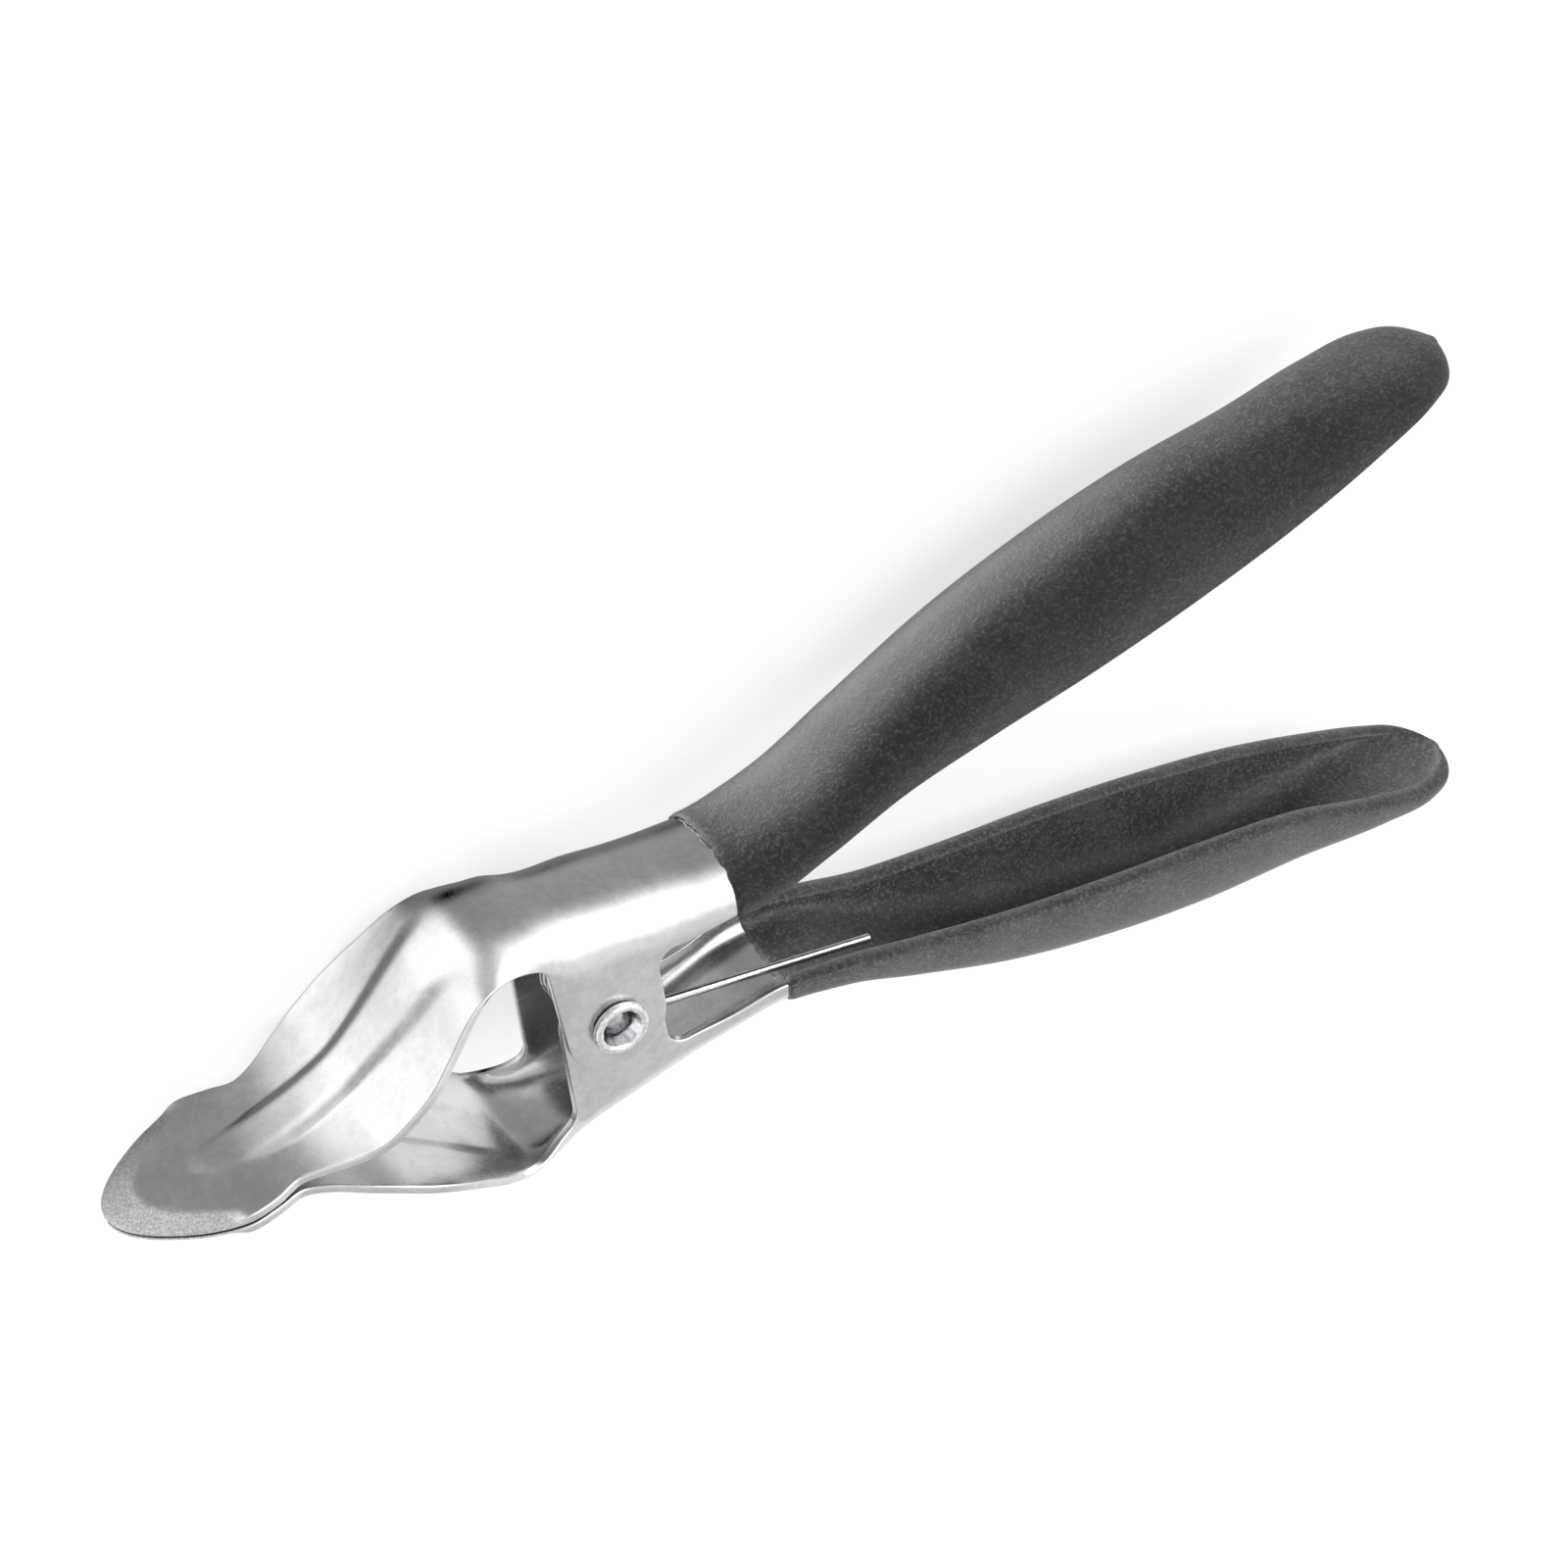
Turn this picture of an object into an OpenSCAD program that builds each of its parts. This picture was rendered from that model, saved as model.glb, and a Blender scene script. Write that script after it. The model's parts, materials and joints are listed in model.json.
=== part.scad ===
// Spreading pliers with leaf-shaped tips, lying on their side.
// X runs from the leaf tips to the handle ends, Y is the direction in which the tips open, and Z is the
// pivot axis. Squeezing the handles spreads the tips, and the coil spring closes them again.

/* [Levers] */
// Thickness of the stamped sheet
sheet = 1.1; // [1:0.1:1.4]
// Distance from the pivot to the leaf tips
tip_reach = 57.8; // [54:0.1:62]
// Distance from the pivot to the ends of the metal handle cores
core_reach = 117.2; // [113:0.1:122]
// Half the gap between the closed leaves
leaf_gap = 0.15; // [0.15:0.05:0.4]
// Outer half width of the upper lever at the pivot
neck_half = 8.2; // [8:0.1:8.6]
// Gap between the nested pivot ears
ear_gap = 0.3; // [0.2:0.05:0.4]
// Radius of the round ends of the pivot ears
ear_r = 6.1; // [5.6:0.1:6.6]
// Squareness of the channel section, where 2 is an ellipse
bend = 2.6; // [2:0.1:3.2]

/* [Leaf and rib] */
// Length of the ground bevel along the tip
bevel_len = 4; // [2:0.5:6]
// How much the bevel thins the sheet at its edge
bevel_drop = 0.8; // [0.3:0.1:0.8]
// Height of the pressed rib
rib_h = 0.8; // [0.3:0.1:1.1]

/* [Grips] */
// Thickness of the dipped coating
coat = 0.7; // [0.5:0.1:0.8]
// Where the coating starts on the upper lever
upper_dip = 16.6; // [14:0.2:20]
// Where the coating starts on the lower lever
lower_dip = 22; // [20:0.5:26]

/* [Rivet and spring] */
// Radius of the rivet's shank
shank_r = 2.3; // [2:0.05:2.5]
// Radial clearance of the upper lever on the rivet
pivot_clear = 0.05; // [0.02:0.01:0.1]
// Outer radius of the rolled rivet end
roll_r = 3.35; // [3.1:0.05:3.6]
// Radius of the spring wire
wire_r = 0.55; // [0.4:0.05:0.65]
// Distance between the planes of the two spring legs
leg_spread = 6.4; // [6:0.1:7]
// Reach of the spring legs from the pivot
leg_reach = 34; // [28:0.5:38]
// Angle between each leg and the X axis
leg_angle = 12.7; // [11:0.1:14]

/* [Hidden] */

steel = "silver";
dark = [0.2, 0.2, 0.21];

ear_in = neck_half - sheet;                  // inner face of the upper ears
nest_half = ear_in - ear_gap;                // outer face of the lower ears
leaf_top = leaf_gap + sheet;                 // outer face of a closed leaf
jaw_half = 12.85;                            // widest half width, which rests on the table
leaf_curve = 9.4;                            // half width squared per millimetre behind the tip
path_n = 14;                                 // steps across a section, from rim to rim
coat_end = core_reach + coat;

// Stations of a lever's outer face: X, half width, rim height, crown height and how far the flat plate
// (0) has turned into a channel (1).
JAW = [
    [-tip_reach, 0, leaf_top, leaf_top, 0],
    [-53, 6.75, leaf_top, leaf_top, 0],
    [-49, 9.1, leaf_top, leaf_top, 0],
    [-45, 10.3, leaf_top, leaf_top, 0],
    [-41.5, 9.8, leaf_top, leaf_top, 0],
    [-38.5, 8.9, leaf_top + 0.25, leaf_top + 0.25, 0],
    [-36, 9.7, leaf_top + 0.6, leaf_top + 0.7, 0],
    [-32, 11.6, leaf_top + 1.7, leaf_top + 2, 0],
    [-29, 12.6, 4.1, 4.6, 0],
    [-26, jaw_half, 5.9, 6.6, 0],
    [-23, 12.6, 7.8, 8.9, 0],
    [-20, 11.7, 10.1, 11.4, 0.1],
    [-16, 10.3, 13, 14.7, 0.3]
];
UPPER_NECK = [
    [-13.2, 9.45, 13.9, 16.65, 0.45],
    [-11.5, 9, 13.9, 17, 0.6],
    [-9, 8.4, 13.1, 16.8, 0.8],
    [-6.5, neck_half, 11.6, 16.3, 1],
    [-4, neck_half, 8.8, 15.7, 1],
    [3, neck_half, 8, 14.3, 1],
    [8.4, neck_half, 6.6, 13.2, 1],
    [14, neck_half, 6.6, 12.1, 1],
    [20, 8, 6.9, 11.6, 1]
];
LOWER_NECK = [
    [-13.2, 9.2, 13.9, 16.65, 0.55],
    [-11.5, 8.5, 13.9, 17, 0.75],
    [-9, 7.4, 13.3, 16.9, 1],
    [-6.5, nest_half, 12.3, 16.6, 1],
    [-4, nest_half, 10.6, 16.5, 1],
    [3, nest_half, 9.2, 15.3, 1],
    [8.4, nest_half, 8.6, 14.1, 1],
    [14, 7, 8.4, 13, 1],
    [20, 7.4, 7.5, 12.1, 1]
];
HANDLE = [
    [28, 7.7, 8.9, 13.1, 1],
    [38, 7.5, 12, 18.3, 1],
    [50, 8, 14.8, 23.7, 1],
    [64, 8.4, 17.3, 28, 1],
    [78, 8.2, 19.9, 31, 1],
    [92, 7.9, 23.2, 32.2, 1],
    [104, 8, 27.6, 32.9, 1],
    [112, 6.9, 30.2, 32.8, 1],
    [core_reach, 0, 31, 32.1, 1]
];
// The lower handle runs closer to the X axis than the upper one
bend_from = 28;
inward = 0.014;
LOWER_HANDLE = [for (r = HANDLE) r - [0, 0, 1, 1, 0] * inward * (r[0] - bend_from)];
UPPER = concat(JAW, UPPER_NECK, HANDLE);
LOWER = concat(JAW, LOWER_NECK, LOWER_HANDLE);
// Half width of the pressed rib along X
rib_from = -48.4;
rib_to = -10;
RIB = [[rib_from, 0], [-46, 2.2], [-43, 3.2], [-38, 4], [-28, 4.2], [-20, 5.6], [-14, 6.4], [rib_to, 6.6]];
rib_start = 0.22;                            // share of the rib's height that it has on the leaf
leaf_rise = -46;                             // where it has reached that height
jaw_rise = [-44, -35];                       // where it rises to its full height
rib_end = [-19, -13.5];                      // where it runs out into the neck
rib_flat = 0.45;                             // share of its half width that is flat on top
bevel_fade = [-47.5, -45];                   // where the bevel runs out along the leaf's sides

function clamp01(v) = min(1, max(0, v));
function smooth(a, b, v) = let (u = clamp01((v - a) / (b - a))) u * u * (3 - 2 * u);

// Smooth curve through the stations of a table
function knot(t, x, i = 0) = i >= len(t) - 2 || x < t[i + 1][0] ? i : knot(t, x, i + 1);
function secant(t, i, c) = (t[i + 1][c] - t[i][c]) / (t[i + 1][0] - t[i][0]);
function gap_of(t, i) = t[i + 1][0] - t[i][0];
function slope(t, i, c) =
    i == 0 ? secant(t, 0, c) :
    i == len(t) - 1 ? secant(t, i - 1, c) :
    (gap_of(t, i) * secant(t, i - 1, c) + gap_of(t, i - 1) * secant(t, i, c))
    / (gap_of(t, i - 1) + gap_of(t, i));
function along(t, x, c) =
    let (i = knot(t, x), h = gap_of(t, i), u = (x - t[i][0]) / h, v = 1 - u)
    t[i][c] * v * v * (1 + 2 * u) + t[i + 1][c] * u * u * (1 + 2 * v)
    + h * u * v * (slope(t, i, c) * v - slope(t, i + 1, c) * u);

// The half width is blended as a square, which rounds the leaf tip and the handle end
function squared(t) = [for (r = t) [r[0], r[1] * r[1], r[2], r[3], r[4]]];
function half_width(sq, x) = sqrt(max(0.01, along(sq, x, 1)));

function rib_at(x, z) =
    let (r = max(0.3, along(RIB, x, 1)))
    let (jaw_share = (1 - rib_start) * smooth(jaw_rise[0], jaw_rise[1], x))
    rib_h * (rib_start * smooth(rib_from, leaf_rise, x) + jaw_share)
    * (1 - smooth(rib_end[0], rib_end[1], x)) * (1 - smooth(rib_flat, 1, abs(z) / r));

function bevel_at(x, z) =
    let (d = x + tip_reach - z * z / leaf_curve)
    bevel_drop * clamp01(1 - d / bevel_len) * (1 - smooth(bevel_fade[0], bevel_fade[1], x));

// Middle of the sheet at station x, from one rim (s = -1) over the crown (s = 0) to the other, as [Z, Y]
function middle(sq, x, s) =
    let (
        fold = clamp01(along(sq, x, 4)),
        w = half_width(sq, x) - fold * min(sheet, half_width(sq, x)) / 2,
        rim = along(sq, x, 2) - (1 - fold) * sheet / 2,
        crown = max(along(sq, x, 3) - sheet / 2, rim + 0.01),
        q = 2 / bend,
        channel = [w * sign(s) * pow(abs(sin(90 * s)), q), rim + (crown - rim) * pow(abs(cos(90 * s)), q)],
        plate = [w * s, rim + (crown - rim) * pow(1 - s * s, 2)],
        p = plate * (1 - fold) + channel * fold
    )
    x < rib_to && x > rib_from ? [p[0], p[1] + rib_at(x, p[0])] : p;
function lean(sq, x) = (along(sq, x + 0.2, 3) - along(sq, x - 0.2, 3)) / 0.4;
function unit(v) = v / norm(v);

// Closed outline of the sheet at station x, grown by g on every side
function ring(sq, x, g) =
    let (
        half_t = (sheet / 2) * sqrt(1 + pow(lean(sq, x), 2)) + g,
        steps = [for (k = [0:path_n]) 2 * k / path_n - 1],
        mid = [for (s = steps) middle(sq, x, s)],
        dir = [for (s = steps) unit(middle(sq, x, min(1, s + 0.02)) - middle(sq, x, max(-1, s - 0.02)))],
        ext = [for (k = [0:path_n]) k == 0 ? -g : k == path_n ? g : 0],
        pts = [for (k = [0:path_n]) mid[k] + dir[k] * ext[k]]
    )
    concat(
        [for (k = [0:path_n]) [x, pts[k][1] + dir[k][0] * half_t - (g > 0 ? 0 : bevel_at(x, pts[k][0])),
            pts[k][0] - dir[k][1] * half_t]],
        [for (k = [path_n:-1:0]) [x, pts[k][1] - dir[k][0] * half_t, pts[k][0] + dir[k][1] * half_t]]
    );

// Solid between neighbouring rings
module loft(rings) {
    n = len(rings[0]);
    last = len(rings) - 1;
    polyhedron(
        points = [for (r = rings) for (p = r) p],
        faces = concat(
            [[for (k = [0:n - 1]) k]],
            [for (i = [0:last - 1]) for (k = [0:n - 1])
                let (a = i * n + k, b = i * n + (k + 1) % n)
                for (f = [[a, a + n, b + n], [a, b + n, b]]) f],
            [[for (k = [n - 1:-1:0]) last * n + k]]
        ),
        convexity = 10
    );
}

// X of every ring, with steps that shrink towards the leaf tip and the handle end
tip_len = 9;
neck_from = -20;                             // close steps where the channel forms
neck_to = 9;
grip_x = 30;
end_len = 13.8;
end_skip = 0.05;
function span(a, b, n) = [for (i = [0:n - 1]) a + (b - a) * i / n];
handle_x = concat(
    span(grip_x, core_reach - end_len, 16),
    [for (i = [0:8]) core_reach - end_skip - (end_len - end_skip) * pow(1 - i / 8, 2)]);
lever_x = concat(
    [for (i = [0:7]) end_skip - tip_reach + tip_len * pow(i / 8, 2)],
    span(tip_len - tip_reach, neck_from, 16), span(neck_from, neck_to, 29), span(neck_to, grip_x, 10),
    handle_x);

module lever_shell(table) {
    sq = squared(table);
    loft([for (x = lever_x) ring(sq, x, 0)]);
}

// Outline of a pivot ear: a round end at the pivot, a straight front edge, and a fillet up to the rim
fillet = 2.2;
front_lean = 0.4;
overlap = 1.6;                               // of the ear and the channel's side wall
upper_ear = [11.4, 6.7];                     // heights of the front edge's top and of the rim behind the ear
lower_ear = [12.2, 8.7];
module ear_outline(front_top, rim) {
    circle(r = ear_r, $fn = 96);
    difference() {
        polygon([[-ear_r, 0], [ear_r, 0], [ear_r, rim - fillet], [ear_r + fillet, rim],
            [ear_r + fillet, rim + overlap], [-ear_r - front_lean, front_top]]);
        translate([ear_r + fillet, rim - fillet]) circle(r = fillet, $fn = 64);
    }
}

// The two ears of a lever, with bores for the rivet
module ears(outer, heights, bore_r) {
    for (z = [-outer, outer - sheet])
        translate([0, 0, z]) linear_extrude(sheet) difference() {
            ear_outline(heights[0], heights[1]);
            circle(r = bore_r, $fn = 96);
        }
}

module upper_lever() {
    color(steel) {
        lever_shell(UPPER);
        ears(neck_half, upper_ear, shank_r + pivot_clear);
    }
}

module lower_lever() {
    color(steel) mirror([0, 1, 0]) {
        lever_shell(LOWER);
        ears(nest_half, lower_ear, shank_r);
    }
}

// Coating: a sock round the handle core, open at its slanting dip line
dip_y = 9;                                   // height at which the dip line is where the coating starts
tilt_len = 9;                                // length over which the slant dies out
function tilted(r, x, start, tilt) =
    let (t = (1 - smooth(start, start + tilt_len, x)) * tilt)
    [for (p = r) [p[0] + t[0] * (p[1] - dip_y) + t[1] * p[2], p[1], p[2]]];
module grip(table, start, tilt) {
    sq = squared(table);
    path = concat(span(start, grip_x, 5), handle_x);
    inner = [for (i = [len(path) - 1:-1:0]) tilted(ring(sq, path[i], 0), path[i], start, tilt)];
    outer = [for (x = path) tilted(sock_ring(sq, x), x, start, tilt)];
    loft(concat(inner, outer));
}
// The last millimetres of the coating run on past the core and close in a round end
round_len = 6;
thinning = 0.4;
function sock_ring(sq, x) =
    let (u = clamp01((x - core_reach) / round_len + 1))
    shifted(ring(sq, x, coat * (1 - thinning * pow(u, 3))), coat * u * u);
function shifted(r, dx) = [for (p = r) [p[0] + dx, p[1], p[2]]];

module upper_grip() {
    color(dark) grip(UPPER, upper_dip, [0.16, 0]);
}

module lower_grip() {
    color(dark) mirror([0, 1, 0]) grip(LOWER, lower_dip, [0, -0.11]);
}

// Tubular rivet: a low domed head on the far side and a hollow, rolled end on the near side
head_gap = 0.15;                             // between the upper ears and the heads
head_z = neck_half + head_gap;
roll_tube = 0.55;                            // radius of the rolled wall
hollow_r = 1.7;
hollow_from = 4;
funnel_h = 0.9;
head_r = 3.6;
head_h = 1.1;
dome_r = 6.5;
module pivot_rivet() {
    funnel_r = roll_r - 2 * roll_tube;
    color(steel) rotate_extrude($fn = 96) {
        difference() {
            union() {
                translate([0, -head_z]) square([shank_r, 2 * head_z + roll_tube]);
                translate([0, head_z]) square([roll_r - roll_tube, roll_tube]);
                translate([roll_r - roll_tube, head_z + roll_tube]) circle(r = roll_tube, $fn = 32);
                intersection() {
                    translate([0, -head_z - head_h]) square([head_r, head_h]);
                    translate([0, -head_z - head_h + dome_r]) circle(r = dome_r, $fn = 96);
                }
            }
            translate([0, hollow_from]) square([hollow_r, head_z]);
            polygon([[0, head_z - funnel_h], [hollow_r, head_z - funnel_h], [funnel_r, head_z + roll_tube],
                [funnel_r, head_z + head_h], [0, head_z + head_h]]);
        }
    }
}

// Wire of the spring: the far leg from the upper handle, the coil, and the near leg in the lower handle
coil_clear = 0.5;                            // between the rivet and the coil
coil_r = shank_r + coil_clear + wire_r;
coil_from = 90 + leg_angle;
coil_turn = 360 * 3 + 180 - 2 * leg_angle;
coil_n = 66;
wire_n = 10;
leg_y = coil_r / cos(leg_angle);             // height at which a leg's line crosses the pivot
function leg(x, side) = [x, side * (leg_y + x * tan(leg_angle)), -side * leg_spread / 2];
wire = concat(
    [leg(leg_reach, 1), leg(leg_reach / 2, 1)],
    [for (i = [0:coil_n]) let (a = coil_from + coil_turn * i / coil_n)
        [coil_r * cos(a), coil_r * sin(a), leg_spread * (i / coil_n - 0.5)]],
    [leg(leg_reach / 2, -1), leg(leg_reach, -1)]
);
function wire_ring(i) =
    let (
        a = wire[max(0, i - 1)],
        b = wire[min(len(wire) - 1, i + 1)],
        t = unit(b - a),
        u = unit(cross(t, [0, 0, 1])),
        v = cross(t, u)
    )
    [for (k = [0:wire_n - 1]) let (a = 360 * k / wire_n) wire[i] + wire_r * (cos(a) * u + sin(a) * v)];

module torsion_spring() {
    color(steel) loft([for (i = [0:len(wire) - 1]) wire_ring(i)]);
}

// The origin is under the middle of the bounding box, on the table
module placed() {
    translate([(tip_reach - coat_end) / 2, 0, jaw_half]) children();
}

placed() upper_lever();
placed() lower_lever();
placed() upper_grip();
placed() lower_grip();
placed() pivot_rivet();
placed() torsion_spring();
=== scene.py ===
import json
import math

import bpy
import numpy as np
from mathutils import Matrix, Vector
from mathutils.geometry import delaunay_2d_cdt


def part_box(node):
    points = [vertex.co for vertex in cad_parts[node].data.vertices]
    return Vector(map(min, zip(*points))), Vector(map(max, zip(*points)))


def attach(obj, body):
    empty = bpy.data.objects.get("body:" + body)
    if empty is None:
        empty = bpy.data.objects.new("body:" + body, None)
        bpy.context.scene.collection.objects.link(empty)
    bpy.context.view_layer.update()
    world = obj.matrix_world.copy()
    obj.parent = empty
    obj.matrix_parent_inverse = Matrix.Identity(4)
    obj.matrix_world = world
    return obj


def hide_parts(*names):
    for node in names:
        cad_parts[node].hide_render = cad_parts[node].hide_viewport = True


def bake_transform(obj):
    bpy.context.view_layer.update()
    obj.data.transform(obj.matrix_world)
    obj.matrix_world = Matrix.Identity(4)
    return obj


# Spreading pliers: two stamped sheet levers with dipped grips, a tubular rivet and a torsion spring.
# Shapes are worked out in millimetres about the pivot, with the upper lever on +Y, and placed in
# metres.

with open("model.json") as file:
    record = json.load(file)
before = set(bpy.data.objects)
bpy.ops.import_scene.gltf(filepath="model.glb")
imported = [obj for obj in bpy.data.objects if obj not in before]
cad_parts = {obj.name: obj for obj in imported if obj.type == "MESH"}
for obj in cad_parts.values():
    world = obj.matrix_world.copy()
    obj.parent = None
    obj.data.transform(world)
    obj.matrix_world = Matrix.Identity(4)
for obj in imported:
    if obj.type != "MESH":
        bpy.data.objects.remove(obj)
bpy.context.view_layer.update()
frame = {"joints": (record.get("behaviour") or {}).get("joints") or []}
PIVOT = Vector(frame["joints"][0]["pos_m"])
MM = 0.001
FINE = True


def reach(node, side):
    """Distance in millimetres from the pivot to a CAD node's end on that side of X."""
    low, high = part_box(node)
    return (PIVOT.x - low.x) / MM if side < 0 else (high.x - PIVOT.x) / MM


# ---------------------------------------------------------------- sizes, in millimetres
sheet = 1.1
tip_reach = reach("upper_lever", -1)
core_reach = reach("upper_lever", 1)
leaf_gap = 0.15
leaf_top = leaf_gap + sheet
neck_half = 8.2
nest_half = 6.8
jaw_half = 12.85
ear_r = 6.1
fillet = 2.2
front_lean = 0.4
corner_cut = 1.1
corner_drop = 1.3
bend = 2.6
bevel_len = 4
bevel_drop = 0.8
leaf_curve = 9.4
bevel_fade = (-47.5, -45.0)
rib_h = 0.8
rib_start = 0.22
rib_from = -48.4
leaf_rise = -46
jaw_rise = (-44, -35)
rib_end = (-19, -13.5)
rib_flat = 0.45
coat = 0.7
round_len = 6
upper_dip = 16.6
lower_dip = 22.0
dip_y = 9
tilt_len = 9
end_len = 12
shank_r = 2.3
pivot_clear = 0.05
upper_ear_top = 11.4
lower_ear_top = 12.2

# Stations of a lever's outer face: X, half width, rim height, crown height, and how far the flat
# plate (0) has turned into a channel (1)
JAW = [
    [-tip_reach, 0, leaf_top, leaf_top, 0],
    [-53, 6.75, leaf_top, leaf_top, 0],
    [-49, 9.1, leaf_top, leaf_top, 0],
    [-45, 10.3, leaf_top, leaf_top, 0],
    [-41.5, 9.8, leaf_top, leaf_top, 0],
    [-38.5, 8.9, leaf_top + 0.25, leaf_top + 0.25, 0],
    [-36, 9.7, leaf_top + 0.6, leaf_top + 0.7, 0],
    [-32, 11.6, leaf_top + 1.7, leaf_top + 2, 0],
    [-29, 12.6, 4.1, 4.6, 0],
    [-26, jaw_half, 5.9, 6.6, 0],
    [-23, 12.6, 7.8, 8.9, 0],
    [-20, 11.7, 10.1, 11.4, 0.1],
    [-16, 10.3, 13, 14.7, 0.3],
]
UPPER_NECK = [
    [-13.2, 9.45, 13.9, 16.65, 0.45],
    [-11.5, 9, 13.9, 17, 0.6],
    [-9, 8.4, 13.1, 16.8, 0.8],
    [-6.5, neck_half, 11.6, 16.3, 1],
    [-4, neck_half, 8.8, 15.7, 1],
    [3, neck_half, 8, 14.3, 1],
    [8.4, neck_half, 6.6, 13.2, 1],
    [14, neck_half, 6.6, 12.1, 1],
    [20, 8, 6.9, 11.6, 1],
]
LOWER_NECK = [
    [-13.2, 9.2, 13.9, 16.65, 0.55],
    [-11.5, 8.5, 13.9, 17, 0.75],
    [-9, 7.4, 13.3, 16.9, 1],
    [-6.5, nest_half, 12.3, 16.6, 1],
    [-4, nest_half, 10.6, 16.5, 1],
    [3, nest_half, 9.2, 15.3, 1],
    [8.4, nest_half, 8.6, 14.1, 1],
    [14, 7, 8.4, 13, 1],
    [20, 7.4, 7.5, 12.1, 1],
]
# The station at 115.5 makes the round end a little fuller than the CAD's
HANDLE = [
    [28, 7.7, 8.9, 13.1, 1],
    [38, 7.5, 12, 18.3, 1],
    [50, 8, 14.8, 23.7, 1],
    [64, 8.4, 17.3, 28, 1],
    [78, 8.2, 19.9, 31, 1],
    [92, 7.9, 23.2, 32.2, 1],
    [104, 8, 27.6, 32.9, 1],
    [112, 7, 30.2, 32.8, 1],
    [115.5, 4.9, 30.8, 32.5, 1],
    [core_reach, 0, 31, 32.1, 1],
]
# The lower handle runs closer to the X axis than the upper one
bend_from = 28
inward = 0.014
LOWER_HANDLE = [
    [x, half, rim - inward * (x - bend_from), crown - inward * (x - bend_from), fold]
    for x, half, rim, crown, fold in HANDLE
]
# Half width of the pressed rib along X
RIB = [
    [rib_from, 0],
    [-46, 2.2],
    [-43, 3.2],
    [-38, 4],
    [-28, 4.2],
    [-20, 5.6],
    [-14, 6.4],
    [-10, 6.6],
]


def curve(x, y):
    """Smooth curve through points: a cubic between neighbours, with parabolic slopes."""
    x = np.array(x, float)
    y = np.array(y, float)
    h = np.diff(x)
    secant = np.diff(y) / h
    slope = np.empty_like(y)
    slope[0] = secant[0]
    slope[-1] = secant[-1]
    slope[1:-1] = (h[1:] * secant[:-1] + h[:-1] * secant[1:]) / (h[1:] + h[:-1])

    def at(q):
        i = np.clip(np.searchsorted(x, q, side="right") - 1, 0, len(h) - 1)
        u = (q - x[i]) / h[i]
        v = 1 - u
        bow = u * v * (slope[i] * v - slope[i + 1] * u)
        return y[i] * v * v * (1 + 2 * u) + y[i + 1] * u * u * (1 + 2 * v) + h[i] * bow

    return at


def smooth(a, b, v):
    """0 up to a, 1 from b on, with a smooth rise between them."""
    u = np.clip((v - a) / (b - a), 0, 1)
    return u * u * (3 - 2 * u)


def unit(v):
    return v / np.maximum(np.linalg.norm(v, axis=-1, keepdims=True), 1e-12)


rib_width = curve(*zip(*RIB))


def rib_at(x, z):
    """Height of the pressed rib."""
    r = np.maximum(0.3, rib_width(np.clip(x, RIB[0][0], RIB[-1][0])))
    rise = rib_start * smooth(rib_from, leaf_rise, x) + (1 - rib_start) * smooth(*jaw_rise, x)
    return rib_h * rise * (1 - smooth(*rib_end, x)) * (1 - smooth(rib_flat, 1, np.abs(z) / r))


def bevel_at(x, z):
    """How much the ground bevel takes off the sheet."""
    d = x + tip_reach - z * z / leaf_curve
    return bevel_drop * np.clip(1 - d / bevel_len, 0, 1) * (1 - smooth(*bevel_fade, x))


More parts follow.
